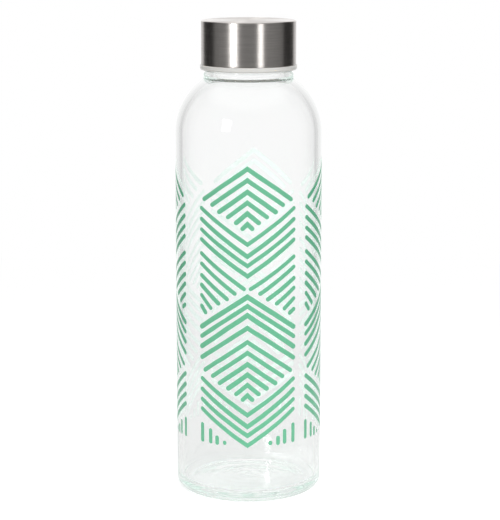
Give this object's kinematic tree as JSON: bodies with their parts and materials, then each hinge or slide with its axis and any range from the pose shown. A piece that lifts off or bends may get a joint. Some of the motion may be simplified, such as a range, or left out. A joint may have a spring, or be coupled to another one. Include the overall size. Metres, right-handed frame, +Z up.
{
  "type": "glass water bottle",
  "caption": "Clear glass water bottle with a domed shoulder, a brushed steel screw cap and a green chevron line print fired round its straight barrel.",
  "frame": {"origin": "centre of the standing ring, on the surface that the bottle stands on", "axes": "+Z up along the bottle's axis, from base to cap; -Y towards the viewer, at the middle of one printed panel"},
  "size_m": [0.066, 0.066, 0.2144],
  "materials": {
    "clear_glass": "clear, polished",
    "brushed_steel": "brushed round the cap",
    "white_plastic": "translucent white polypropylene",
    "silicone": "matt translucent silicone",
    "green_enamel": "fired enamel, satin",
    "white_enamel": "fired enamel undercoat, matt"
  },
  "bodies": {
    "bottle": {"glass_bottle": "clear_glass"},
    "seal": {"silicone_seal": "silicone"},
    "cap": {"threaded_insert": "white_plastic", "steel_shell": "brushed_steel"}
  },
  "joints": [
    {"name": "cap_rise", "type": "slide", "parent": "bottle", "child": "seal", "axis": [0, 0, 1], "range_m": [0, 0.0252]},
    {"name": "cap_turn", "type": "hinge", "parent": "seal", "child": "cap", "pos_m": [0, 0, 0], "axis": [0, 0, 1], "range_deg": [0, 2160]}
  ],
  "couplings": [
    {"joint": "cap_rise", "follows": "cap_turn", "m_per_rad": 0.00066845}
  ]
}
